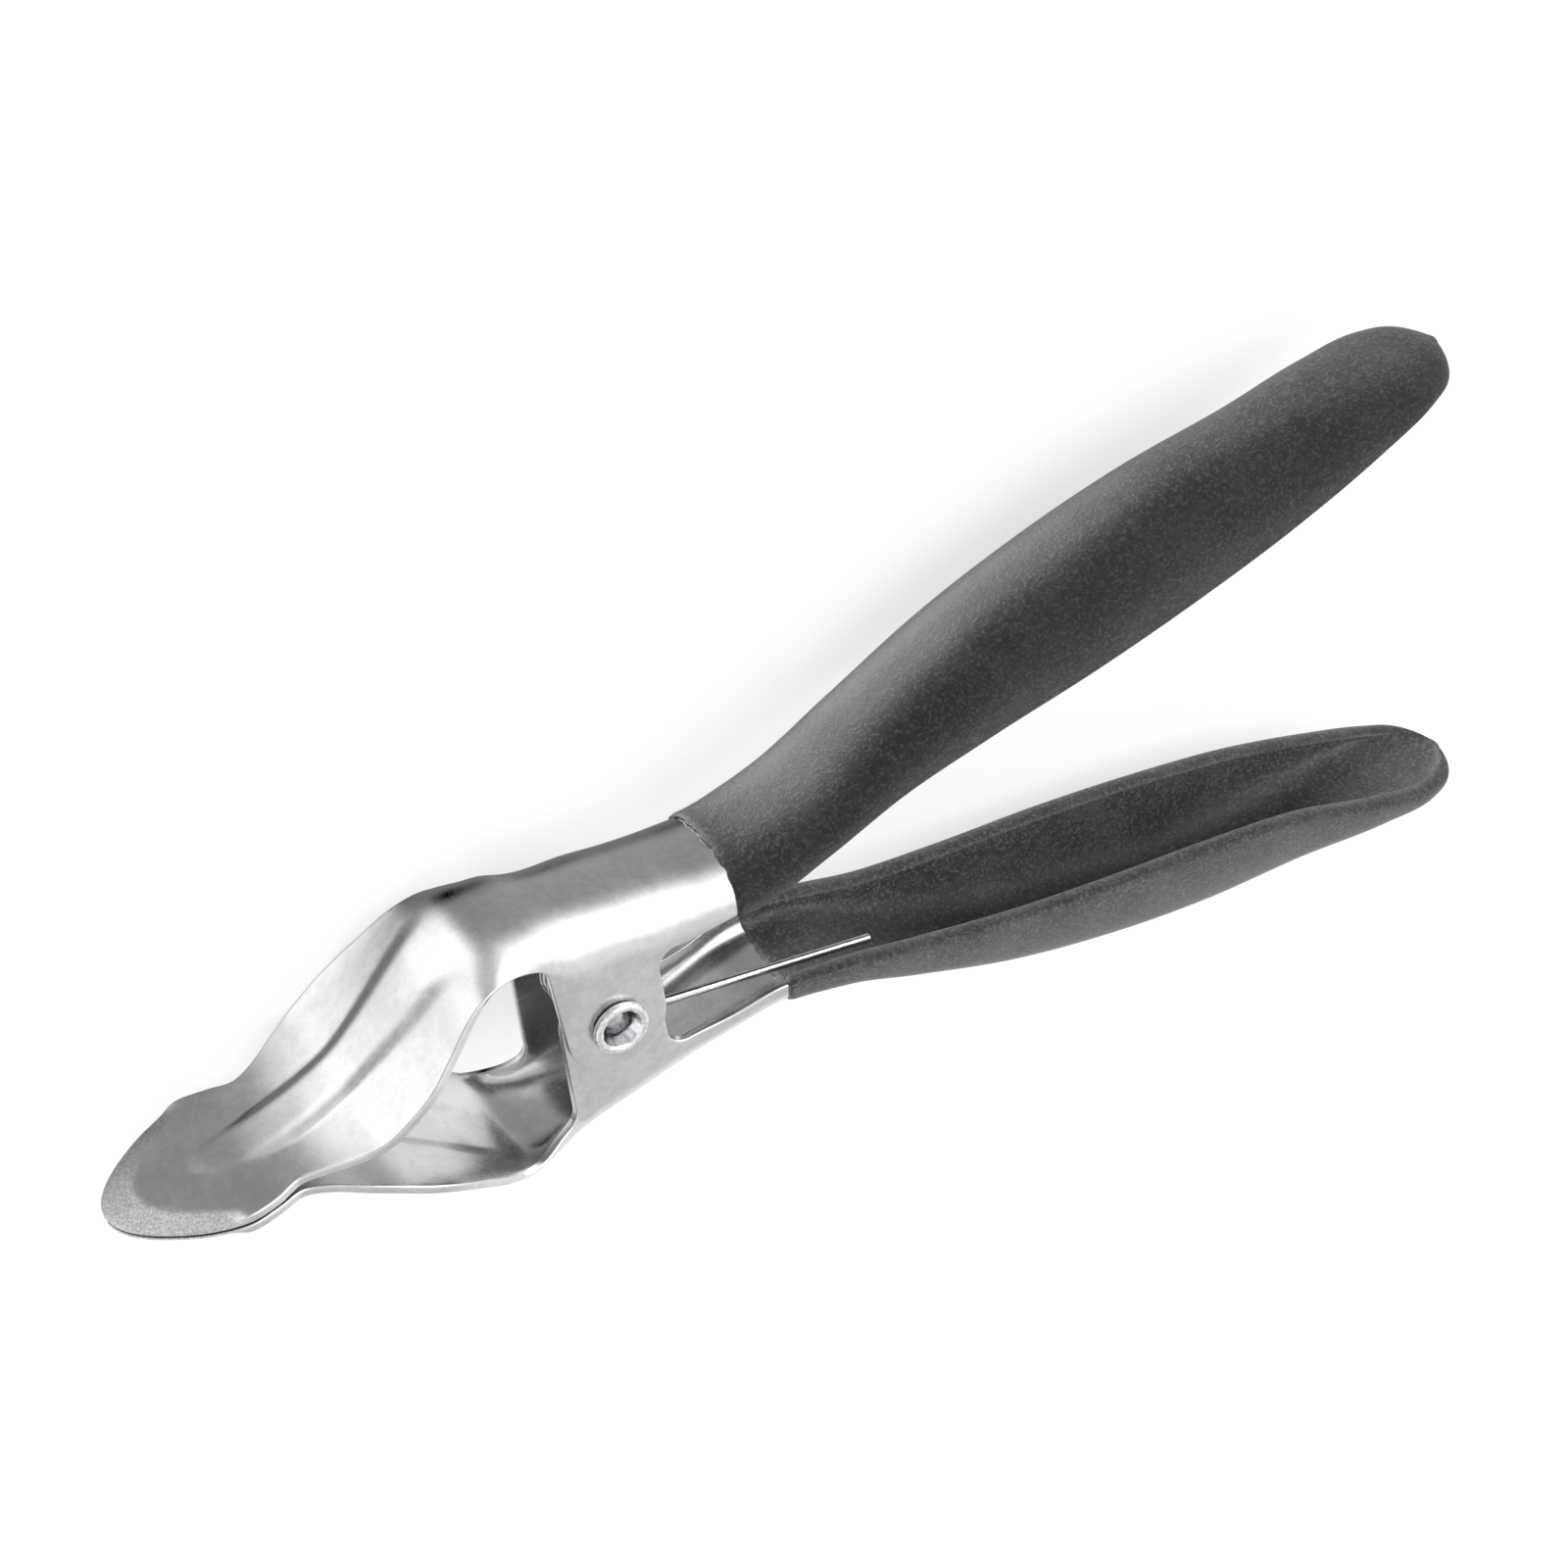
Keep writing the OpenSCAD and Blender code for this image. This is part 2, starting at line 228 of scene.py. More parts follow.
class Lever:
    """The middle of a stamped lever's sheet: a point for X and for c, the distance across its blank."""

    stations = 700
    steps = 100

    def __init__(self, table, front_top):
        x, half, rim, crown, fold = zip(*table)
        self.half2 = curve(x, np.square(half))
        self.rim = curve(x, rim)
        self.crown = curve(x, crown)
        self.fold = curve(x, fold)
        self.front_top = front_top
        self.xs = np.linspace(-tip_reach, core_reach, self.stations)
        s = np.linspace(0, 1, self.steps + 1) ** 1.3
        z, y = self.middle(self.xs[:, None], s[None, :])
        step = np.hypot(np.diff(z, axis=1), np.diff(y, axis=1))
        arc = np.concatenate([np.zeros((self.stations, 1)), np.cumsum(step, axis=1)], axis=1)
        self.width = arc[:, -1]
        share = np.linspace(0, 1, self.steps + 1)
        self.s_of = np.array([np.interp(share, a / a[-1], s) for a in arc])

    def middle(self, x, s):
        """Z and Y of the sheet's middle at X, from the crown (s = 0) to the rim (s = 1)."""
        fold = np.clip(self.fold(x), 0, 1)
        half = np.sqrt(np.maximum(0.01, self.half2(x)))
        w = half - fold * np.minimum(sheet, half) / 2
        rim = self.rim(x) - (1 - fold) * sheet / 2
        crown = np.maximum(self.crown(x) - sheet / 2, rim + 0.01)
        q = 2 / bend
        a = s * math.pi / 2
        z = w * (s * (1 - fold) + np.abs(np.sin(a)) ** q * fold)
        bow = (1 - s * s) ** 2 * (1 - fold) + np.abs(np.cos(a)) ** q * fold
        return z, rim + (crown - rim) * bow

    def half_blank(self, x):
        return np.interp(x, self.xs, self.width)

    def rim_tangent(self, x):
        """Direction in which the sheet would run on past its rim, as (Z, Y)."""
        z1, y1 = self.middle(x, 1.0)
        z0, y0 = self.middle(x, 0.95)
        out = (z1 - z0) * (1 - np.clip(self.fold(x), 0, 1) ** 6)
        down = y1 - y0
        size = np.hypot(out, down)
        return out / size, down / size

    def point(self, x, c):
        x = np.clip(x, -tip_reach, core_reach)
        width = self.half_blank(x)
        share = np.minimum(np.abs(c) / width, 1) * self.steps
        i = (x + tip_reach) / (core_reach + tip_reach) * (self.stations - 1)
        i0 = np.clip(i.astype(int), 0, self.stations - 2)
        k0 = np.clip(share.astype(int), 0, self.steps - 1)
        fi = i - i0
        part = share - k0
        s = (self.s_of[i0, k0] * (1 - fi) + self.s_of[i0 + 1, k0] * fi) * (1 - part)
        s += (self.s_of[i0, k0 + 1] * (1 - fi) + self.s_of[i0 + 1, k0 + 1] * fi) * part
        z, y = self.middle(x, s)
        out, down = self.rim_tangent(x)
        past = np.maximum(np.abs(c) - width, 0)
        z = (z + out * past) * np.where(c < 0, -1, 1)
        return np.stack([x, y + down * past + rib_at(x, z), z], axis=-1)

    def normal(self, x, c):
        """Unit normal that points away from the other lever."""
        e = 0.04
        along = self.point(x + e, c) - self.point(x - e, c)
        across = self.point(x, c + e) - self.point(x, c - e)
        return unit(np.cross(across, along))

    def blank_c(self, x, y):
        """c of a point at height y on the flat ear below the rim."""
        return self.half_blank(x) + self.rim(x) - y

    def rim_line(self, a, b, step):
        x = np.linspace(a, b, max(2, int(round(abs(b - a) / step)) + 1))
        return np.stack([x, self.half_blank(x)], axis=-1)

    def ear_line(self, step):
        """Outline of a pivot ear in the blank, from its rounded front corner to its rear fillet."""
        def lean(y):
            return -ear_r - front_lean * y / self.front_top

        corner_x = -ear_r - front_lean
        corner_y = float(self.rim(np.array([corner_x]))[0])
        before = corner_x - corner_cut
        below = corner_y - corner_drop
        start = np.array([before, float(self.rim(np.array([before]))[0])])
        end = np.array([lean(below), below])
        mid = np.array([corner_x, corner_y])
        t = np.linspace(0, 1, 9)[:, None]
        corner = start * (1 - t) ** 2 + mid * 2 * t * (1 - t) + end * t * t
        front_y = np.linspace(end[1], 0, max(2, int(end[1] / step)))[1:]
        front = np.stack([lean(front_y), front_y], axis=-1)
        a = np.linspace(math.pi, 2 * math.pi, max(12, int(math.pi * ear_r / step)))[1:]
        round_end = ear_r * np.stack([np.cos(a), np.sin(a)], axis=-1)
        rear_x = ear_r + fillet
        rear_rim = float(self.rim(np.array([rear_x]))[0])
        rear_y = np.linspace(0, rear_rim - fillet, max(2, int(rear_rim / step)))[1:]
        rear = np.stack([np.full_like(rear_y, ear_r), rear_y], axis=-1)
        a = np.linspace(math.pi, math.pi / 2, 9)[1:]
        rise_x = rear_x + fillet * np.cos(a)
        rise_y = rear_rim - fillet + fillet * np.sin(a)
        rise = np.stack([rise_x, rise_y], axis=-1)
        line = np.concatenate([corner, front, round_end, rear, rise])
        return np.stack([line[:, 0], self.blank_c(line[:, 0], line[:, 1])], axis=-1)

    def bore_line(self, r, count):
        """Outline in the blank of the round bore through an ear."""
        a = np.linspace(0, 2 * math.pi, count, endpoint=False)
        x = r * np.cos(a)
        return np.stack([x, self.blank_c(x, r * np.sin(a))], axis=-1)


def both_sides(line):
    """A closed outline: the line along the positive rim, and its mirror image back along the other."""
    back = line[::-1] * [1, -1]
    return np.concatenate([line, back])


def inside(points, loop):
    """Whether each point is inside a closed outline."""
    a = loop
    b = np.roll(loop, -1, axis=0)
    x = points[:, :1]
    y = points[:, 1:]
    crosses = (a[:, 1] > y) != (b[:, 1] > y)
    dy = np.where(a[:, 1] == b[:, 1], 1e-12, b[:, 1] - a[:, 1])
    at = a[:, 0] + (y - a[:, 1]) * (b[:, 0] - a[:, 0]) / dy
    return (crosses & (x < at)).sum(1) % 2 == 1


def clearance(points, line, closed=True):
    """Distance of each point from the line."""
    a = line if closed else line[:-1]
    b = np.roll(line, -1, axis=0) if closed else line[1:]
    best = np.full(len(points), 1e9)
    for p, q in zip(a, b):
        d = q - p
        t = np.clip(((points - p) @ d) / max(d @ d, 1e-12), 0, 1)
        best = np.minimum(best, np.hypot(*(points - p - t[:, None] * d).T))
    return best


def mesh_blank(outline, holes, creases, step, margin):
    """Points and triangles of a flat blank with holes, with triangle edges along every crease."""
    low = outline.min(0)
    high = outline.max(0)
    rows = []
    for k, c in enumerate(np.arange(low[1], high[1], step[1])):
        x = np.arange(low[0] + (k % 2) * step[0] / 2, high[0], step[0])
        rows.append(np.stack([x, np.full_like(x, c)], axis=-1))
    grid = np.concatenate(rows)
    grid = grid[inside(grid, outline)]
    for loop in [outline, *holes]:
        grid = grid[clearance(grid, loop) > margin]
    for hole in holes:
        grid = grid[~inside(grid, hole)]
    for line in creases:
        grid = grid[clearance(grid, line, closed=False) > 0.3 * step[1]]
    points = []
    edges = []
    for loop in [outline, *holes]:
        n = len(points)
        points += [Vector(p) for p in loop]
        edges += [(n + k, n + (k + 1) % len(loop)) for k in range(len(loop))]
    for line in creases:
        n = len(points)
        points += [Vector(p) for p in line]
        edges += [(n + k, n + k + 1) for k in range(len(line) - 1)]
    points += [Vector(p) for p in grid]
    made = delaunay_2d_cdt(points, edges, [], 0, 1e-5)
    flat = np.array([tuple(p) for p in made[0]])
    tris = np.array([f for f in made[2] if len(f) == 3])
    centre = flat[tris].mean(1)
    keep = inside(centre, outline)
    for hole in holes:
        keep &= ~inside(centre, hole)
    tris = tris[keep]
    a, b, c = flat[tris[:, 0]], flat[tris[:, 1]], flat[tris[:, 2]]
    area = (b[:, 0] - a[:, 0]) * (c[:, 1] - a[:, 1]) - (b[:, 1] - a[:, 1]) * (c[:, 0] - a[:, 0])
    tris[area < 0] = tris[area < 0][:, ::-1]
    used, tris = np.unique(tris[np.abs(area) > 1e-9], return_inverse=True)
    return flat[used], tris.reshape(-1, 3)


def border(tris):
    """The directed border edges of a set of triangles, with the triangles on their left."""
    edges = np.concatenate([tris[:, [0, 1]], tris[:, [1, 2]], tris[:, [2, 0]]])
    seen = {tuple(e) for e in edges.tolist()}
    return np.array([e for e in edges.tolist() if (e[1], e[0]) not in seen])


def solid(lever, flat, tris, outer, inner, radius, arcs):
    """A closed sheet round the blank's mid-surface. outer and inner are the offsets of its two faces,
    and radius rounds the rim's two edges in arcs steps each."""
    mid = lever.point(flat[:, 0], flat[:, 1])
    up = lever.normal(flat[:, 0], flat[:, 1])
    edges = border(tris)
    count = len(flat)
    nxt = np.full(count, -1)
    prv = np.full(count, -1)
    nxt[edges[:, 0]] = edges[:, 1]
    prv[edges[:, 1]] = edges[:, 0]
    rim = np.unique(edges)
    run = mid[nxt[rim]] - mid[prv[rim]]
    out = unit(np.cross(up[rim], run))
    r = np.minimum(radius, 0.48 * (outer + inner)[rim])[:, None]
    a = outer[rim][:, None]
    b = inner[rim][:, None]
    turns = np.linspace(math.pi / 2, 0, arcs + 1)
    profile = [(r * math.cos(t) - r, a - r + r * math.sin(t)) for t in turns]
    profile += [(r * math.cos(t) - r, -b + r - r * math.sin(t)) for t in turns[::-1]]
    top = mid + up * outer[:, None]
    bottom = mid - up * inner[:, None]
    rings = [mid[rim] + out * d + up[rim] * h for d, h in profile]
    top[rim] = rings[0]
    bottom[rim] = rings[-1]
    slot = np.full(count, -1)
    slot[rim] = np.arange(len(rim))
    points = np.concatenate([top, bottom, *rings[1:-1]])
    faces = [tris, tris[:, ::-1] + count]
    v = edges[:, 0]
    w = edges[:, 1]
    last = len(rings) - 1

    def row(k, which):
        if k == 0:
            return which
        if k == last:
            return which + count
        return 2 * count + (k - 1) * len(rim) + slot[which]

    quads = [
        np.stack([row(k, v), row(k + 1, v), row(k + 1, w), row(k, w)], -1)
        for k in range(last)
    ]
    return points, np.concatenate(faces), np.concatenate(quads)


def build(name, points, tris, quads, material, body, nodes, slot, mirrored=False):
    """A closed, smooth-shaded piece from points in millimetres about the pivot. Faces are turned
    outward, and each point's normal is weighted by the area of its faces."""
    points = np.array(points, float)
    if mirrored:
        points = points * [1, -1, 1]
    corners = points - points.mean(0)

    def wedge(f, k):
        cross = np.cross(corners[f[:, k]], corners[f[:, k + 1]])
        return np.einsum("ij,ij->i", corners[f[:, 0]], cross).sum()

    def volume(f):
        return sum(wedge(f, k) for k in range(1, f.shape[1] - 1))

    total = sum(volume(f) for f in (tris, quads) if len(f))
    if total < 0:
        tris = tris[:, ::-1] if len(tris) else tris
        quads = quads[:, ::-1] if len(quads) else quads
    faces = [list(map(int, f)) for f in tris] + [list(map(int, f)) for f in quads]
    mesh = bpy.data.meshes.new(name)
    place = np.array(PIVOT) + points * MM
    mesh.from_pydata(place.tolist(), [], faces)
    mesh.update()
    mesh.polygons.foreach_set("use_smooth", [True] * len(mesh.polygons))
    normals = np.zeros_like(points)
    for f in (tris, quads):
        if not len(f):
            continue
        n = np.cross(points[f[:, 1]] - points[f[:, 0]], points[f[:, -1]] - points[f[:, 0]])
        for k in range(f.shape[1]):
            np.add.at(normals, f[:, k], n)
    mesh.normals_split_custom_set_from_vertices(unit(normals).tolist())
    mesh.materials.append(material)
    obj = bpy.data.objects.new(name, mesh)
    bpy.context.scene.collection.objects.link(obj)
    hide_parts(*nodes)
    if body:
        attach(obj, body)
    return obj


# ---------------------------------------------------------------- materials
class Paint:
    """Builds one material's nodes. Positions are object coordinates in millimetres about the pivot."""

    def __init__(self, name):
        self.material = bpy.data.materials.new(name)
        self.material.use_nodes = True
        self.nodes = self.material.node_tree.nodes
        self.links = self.material.node_tree.links
        self.shader = self.nodes["Principled BSDF"]
        where = self.nodes.new("ShaderNodeTexCoord")
        scaled = self.nodes.new("ShaderNodeMapping")
        scaled.vector_type = "TEXTURE"
        scaled.inputs["Location"].default_value = PIVOT
        scaled.inputs["Scale"].default_value = (MM, MM, MM)
        self.link(where.outputs["Object"], scaled.inputs["Vector"])
        self.place = scaled.outputs["Vector"]

    def link(self, a, b):
        self.links.new(a, b)

    def put(self, value, socket):
        if isinstance(value, bpy.types.NodeSocket):
            self.link(value, socket)
        else:
            socket.default_value = value

    def math(self, kind, a, b=0.0, c=0.0):
        n = self.nodes.new("ShaderNodeMath")
        n.operation = kind
        for value, socket in zip((a, b, c), n.inputs):
            self.put(value, socket)
        return n.outputs[0]

    def ramp(self, value, low, high):
        """0 up to low, 1 from high on, with a smooth rise between them."""
        n = self.nodes.new("ShaderNodeMapRange")
        n.interpolation_type = "SMOOTHSTEP"
        self.put(value, n.inputs["Value"])
        self.put(low, n.inputs["From Min"])
        self.put(high, n.inputs["From Max"])
        return n.outputs[0]

    def axes(self):
        n = self.nodes.new("ShaderNodeSeparateXYZ")
        self.link(self.place, n.inputs[0])
        return n.outputs[0], n.outputs[1], n.outputs[2]

    def stretched(self, scale, turn=0.0):
        n = self.nodes.new("ShaderNodeMapping")
        n.inputs["Scale"].default_value = scale
        n.inputs["Rotation"].default_value = (0, 0, turn)
        self.link(self.place, n.inputs["Vector"])
        return n.outputs[0]

    def noise(self, scale, detail=3.0, rough=0.55, at=None):
        n = self.nodes.new("ShaderNodeTexNoise")
        n.inputs["Scale"].default_value = scale
        n.inputs["Detail"].default_value = detail
        n.inputs["Roughness"].default_value = rough
        self.link(at or self.place, n.inputs["Vector"])
        return n.outputs["Fac"]

    def mix(self, share, a, b):
        n = self.nodes.new("ShaderNodeMix")
        n.data_type = "RGBA"
        self.put(share, n.inputs["Factor"])
        for value, socket in ((a, n.inputs[6]), (b, n.inputs[7])):
            if isinstance(value, tuple):
                value = (*value, 1.0)
            self.put(value, socket)
        return n.outputs[2]

    def bump(self, heights):
        """Adds bump layers: each is a height from 0 to 1 and the millimetres that it stands for."""
        last = None
        for height, depth in heights:
            n = self.nodes.new("ShaderNodeBump")
            n.inputs["Strength"].default_value = 1.0
            n.inputs["Distance"].default_value = depth * MM
            self.put(height, n.inputs["Height"])
            if last:
                self.link(last, n.inputs["Normal"])
            last = n.outputs[0]
        self.link(last, self.shader.inputs["Normal"])


def steel(name, base, rough):
    """Plated sheet steel: faint clouding, drawn-out scratches and pits, and the matt ground bevel."""
    p = Paint(name)
    p.shader.inputs["Metallic"].default_value = 1.0
    cloud = p.noise(0.11, 2.0)
    mottle = p.noise(0.9, 4.0, 0.6)
    grain = p.noise(5.5, 3.0, 0.6)
    hair = p.noise(1.6, 3.0, 0.65, at=p.stretched((0.12, 3.2, 3.2), 0.35))
    pits = p.ramp(p.noise(2.4, 2.0, 0.5), 0.63, 0.7)
    tone = p.math("ADD", p.math("MULTIPLY", cloud, 0.55), p.math("MULTIPLY", mottle, 0.45))
    low = tuple(0.86 * v for v in base)
    colour = p.mix(p.ramp(tone, 0.38, 0.62), low, base)
    gloss = p.math("MULTIPLY_ADD", hair, 0.12, rough - 0.07)
    gloss = p.math("MULTIPLY_ADD", mottle, 0.08, gloss)
    heights = [(cloud, 0.05), (mottle, 0.006), (hair, 0.003), (pits, 0.004), (grain, 0.0015)]
    x, _, z = p.axes()
    curve_x = p.math("MULTIPLY", p.math("MULTIPLY", z, z), 1 / leaf_curve)
    behind = p.math("SUBTRACT", p.math("ADD", x, tip_reach), curve_x)
    edge = p.math("SUBTRACT", 1.0, p.ramp(behind, bevel_len - 0.45, bevel_len + 0.1))
    fade = p.math("SUBTRACT", 1.0, p.ramp(x, *bevel_fade))
    mask = p.math("MULTIPLY", edge, fade)
    stone = p.noise(3.6, 4.0, 0.7)
    matt = p.mix(p.ramp(stone, 0.4, 0.62), (0.40, 0.40, 0.40), (0.64, 0.64, 0.64))
    colour = p.mix(mask, colour, matt)
    gloss = p.math("MULTIPLY_ADD", mask, 0.20, gloss)
    heights.append((p.math("MULTIPLY", stone, mask), 0.02))
    p.link(colour, p.shader.inputs["Base Color"])
    p.link(gloss, p.shader.inputs["Roughness"])
    p.bump(heights)
    return p.material


def vinyl(name):
    """Dark dipped coating with a fine leathery grain and paler specks."""
    p = Paint(name)
    p.shader.inputs["IOR"].default_value = 1.33
    p.shader.inputs["Specular IOR Level"].default_value = 0.35
    p.shader.inputs["Sheen Weight"].default_value = 0.08
    p.shader.inputs["Sheen Roughness"].default_value = 0.4
    cloud = p.noise(0.13, 2.0)
    grain = p.noise(1.3, 5.0, 0.7)
    fine = p.noise(3.4, 3.0, 0.6)
    speck = p.ramp(p.noise(2.6, 2.0, 0.5), 0.53, 0.66)
    tone = p.math("ADD", p.math("MULTIPLY", grain, 0.7), p.math("MULTIPLY", cloud, 0.3))
    colour = p.mix(p.ramp(tone, 0.38, 0.62), (0.009, 0.009, 0.0095), (0.021, 0.021, 0.022))
    colour = p.mix(p.math("MULTIPLY", speck, 0.5), colour, (0.05, 0.05, 0.05))
    gloss = p.math("MULTIPLY_ADD", fine, 0.16, 0.42)
    p.link(colour, p.shader.inputs["Base Color"])
    p.link(gloss, p.shader.inputs["Roughness"])
    p.bump([(cloud, 0.10), (grain, 0.06), (fine, 0.02), (speck, 0.012)])
    return p.material


def wire_steel(name):
    """Bright drawn wire, with faint die marks."""
    p = Paint(name)
    p.shader.inputs["Metallic"].default_value = 1.0
    mottle = p.noise(2.2, 4.0, 0.6)
    marks = p.noise(1.2, 3.0, 0.6, at=p.stretched((0.25, 5.0, 5.0)))
    colour = p.mix(p.ramp(mottle, 0.35, 0.65), (0.44, 0.44, 0.45), (0.60, 0.60, 0.61))
    p.link(colour, p.shader.inputs["Base Color"])
    p.link(p.math("MULTIPLY_ADD", marks, 0.14, 0.08), p.shader.inputs["Roughness"])
    p.bump([(marks, 0.006), (mottle, 0.004)])
    return p.material


def rivet_steel(name):
    """Rolled rivet: bright, with fine rings left by the setting tool."""
    p = Paint(name)
    p.shader.inputs["Metallic"].default_value = 1.0
    x, y, _ = p.axes()
    radius = p.math("SQRT", p.math("ADD", p.math("MULTIPLY", x, x), p.math("MULTIPLY", y, y)))
    wander = p.math("MULTIPLY", p.noise(0.8), 9.0)
    rings = p.math("SINE", p.math("MULTIPLY_ADD", radius, 42.0, wander))
    mottle = p.noise(2.0, 4.0, 0.65)
    colour = p.mix(p.ramp(mottle, 0.35, 0.65), (0.58, 0.58, 0.59), (0.80, 0.80, 0.81))
    p.link(colour, p.shader.inputs["Base Color"])
    p.link(p.math("MULTIPLY_ADD", mottle, 0.18, 0.12), p.shader.inputs["Roughness"])
    p.bump([(rings, 0.0012), (mottle, 0.012)])
    return p.material


# ---------------------------------------------------------------- levers
grid_step = (0.85, 0.62) if FINE else (1.6, 1.1)
line_step = 0.6 if FINE else 1.1
edge_margin = 0.42
edge_radius = 0.26
upper = Lever(JAW + UPPER_NECK + HANDLE, upper_ear_top)
lower = Lever(JAW + LOWER_NECK + LOWER_HANDLE, lower_ear_top)


def tapered(a, b, n, near_a):
    """n steps from a to b that shrink towards one end."""
    u = np.linspace(0, 1, n)
    return a + (b - a) * u * u if near_a else b + (a - b) * (1 - u) ** 2


def lever_outline(lever):
    """The closed outline of the flat blank, with an ear on each side."""
    tip_len = 9
    end_skip = 0.9
    front = -ear_r - front_lean - corner_cut
    rear = ear_r + fillet
    tip = tapered(-tip_reach, tip_len - tip_reach, 26, True)
    jaw = lever.rim_line(tip_len - tip_reach, front, line_step)[1:-1]
    handle = lever.rim_line(rear, core_reach - end_len, line_step)[1:-1]
    end = tapered(core_reach - end_len, core_reach - end_skip, 26, False)

    def at_rim(x):
        return np.stack([x, lever.half_blank(x)], axis=-1)

    ear = lever.ear_line(line_step)
    return both_sides(np.concatenate([at_rim(tip), jaw, ear, handle, at_rim(end)]))


def bevel_crease(side):
    """The line in the blank where the ground bevel starts."""
    crease_to = -46.0
    x = tapered(bevel_len - tip_reach, crease_to, 16, True)
    return np.stack([x, side * np.sqrt(leaf_curve * (x - bevel_len + tip_reach))], axis=-1)


def stamped_lever(name, lever, bore, material, body, node, mirrored):
    """A lever's sheet, from its flat blank with two bores and a crease along the bevel."""
    outline = lever_outline(lever)
    hole = lever.bore_line(bore, 64)
    crease = np.concatenate([bevel_crease(-1)[:0:-1], bevel_crease(1)])
    flat, tris = mesh_blank(outline, [hole, hole * [1, -1]], [crease], grid_step, edge_margin)
    half = np.full(len(flat), sheet / 2)
    outer = half - bevel_at(flat[:, 0], flat[:, 1])
    made = solid(lever, flat, tris, outer, half, edge_radius, 3)
    return build(name, *made, material, body, [node], "stamped_steel", mirrored)


def bands(count, gaps, first=0):
    """Quads between neighbouring rings of count points each, from the point number first on."""
    n = np.arange(count)
    m = (n + 1) % count
    made = []
    for i in range(gaps):
        a = first + i * count
        made.append(np.stack([a + n, a + m, a + count + m, a + count + n], axis=-1))
    return made


def section(lever, x, grow, steps, caps):
    """Outline of the coating in the YZ plane at X, with elliptical rims, as (Y, Z) points."""
    s = np.linspace(-1, 1, steps)
    at = np.full_like(s, x)

    def spot(v):
        z, y = lever.middle(at, np.abs(v))
        return np.stack([y, np.where(v < 0, -z, z)], axis=-1)

    mid = spot(s)
    run = unit(spot(np.minimum(1, s + 0.02)) - spot(np.maximum(-1, s - 0.02)))
    up = np.stack([run[:, 1], -run[:, 0]], axis=-1)
    lean = float(lever.crown(np.array([x + 0.2]))[0] - lever.crown(np.array([x - 0.2]))[0]) / 0.4
    half_t = sheet / 2 * math.sqrt(1 + lean * lean) + grow
    turn = np.linspace(math.pi / 2, -math.pi / 2, caps)[1:-1, None]
    far = mid[-1] + run[-1] * np.cos(turn) * grow + up[-1] * np.sin(turn) * half_t
    near = mid[0] - run[0] * np.cos(turn[::-1]) * grow + up[0] * np.sin(turn[::-1]) * half_t
    return np.concatenate([mid + up * half_t, far, (mid - up * half_t)[::-1], near])


def dipped_grip(name, lever, start, tilt, material, body, node, mirrored):
    """The coating round a handle, from its thin slanting dip line to its round end."""
    steps = 61 if FINE else 31
    caps = 14
    lip_len = 0.8
    cap_reach = 0.35
    near = start + lip_len * np.linspace(0, 1, 7) ** 2
    along = np.arange(start + 1.4, core_reach - end_len, 0.9)
    path = np.concatenate([near, along, tapered(core_reach - end_len, core_reach, 30, False)])
    rings = []
    for x in path:
        u = np.clip((x - core_reach) / round_len + 1, 0, 1)
        lip = 0.30 + 0.32 * math.sqrt(smooth(0, lip_len, x - start))
        lip += 0.38 * smooth(0.4, 7, x - start)
        ring = section(lever, x, coat * lip * (1 - 0.4 * u ** 3), steps, caps)
        y = ring[:, 0]
        z = ring[:, 1]
        wave = 0.09 * np.sin(1.9 * z + start) + 0.06 * np.sin(4.1 * z + y)
        fade = 1 - smooth(start, start + tilt_len, x)
        slant = fade * (tilt[0] * (y - dip_y) + tilt[1] * z + wave)
        rings.append(np.column_stack([x + coat * u * u + slant, ring]))
    last = rings[-1]
    middle = last.mean(0)
    for turn in (0.35, 0.7, 1.0, 1.25):
        shrink = [0, math.cos(turn), math.cos(turn)]
        rings.append(middle + (last - middle) * shrink + [cap_reach * math.sin(turn), 0, 0])
    count = len(rings[0])
    quads = bands(count, len(rings) - 1)
    across = np.arange(steps - 1)
    pair = 2 * steps + caps - 3
    tris = []
    for base, order in ((0, 1), ((len(rings) - 1) * count, -1)):
        strip = np.stack([across, pair - across, pair - across - 1, across + 1], axis=-1)
        quads.append(base + strip[:, ::order])
        for hub in (steps - 1, pair):
            fan = [base + (hub + k) % count for k in range(caps)]
            tris += [[fan[0], fan[k + 1], fan[k]][::order] for k in range(1, caps - 1)]
    faces = (np.concatenate(rings), np.array(tris), np.concatenate(quads))
    return build(name, *faces, material, body, [node], "grip_coating", mirrored)


plate = steel("plated_steel", (0.64, 0.64, 0.65), 0.22)
coating = vinyl("dipped_vinyl")
upper_bore = shank_r + pivot_clear
upper_tilt = (0.16, 0.0)
lower_tilt = (0.0, -0.11)
stamped_lever("upper_stamping", upper, upper_bore, plate, "upper", "upper_lever", False)
stamped_lever("lower_stamping", lower, shank_r, plate, "lower", "lower_lever", True)
upper_grip = dipped_grip(
    "upper_coating", upper, upper_dip, upper_tilt, coating, "upper", "upper_grip", False)
lower_grip = dipped_grip(
    "lower_coating", lower, lower_dip, lower_tilt, coating, "lower", "lower_grip", True)


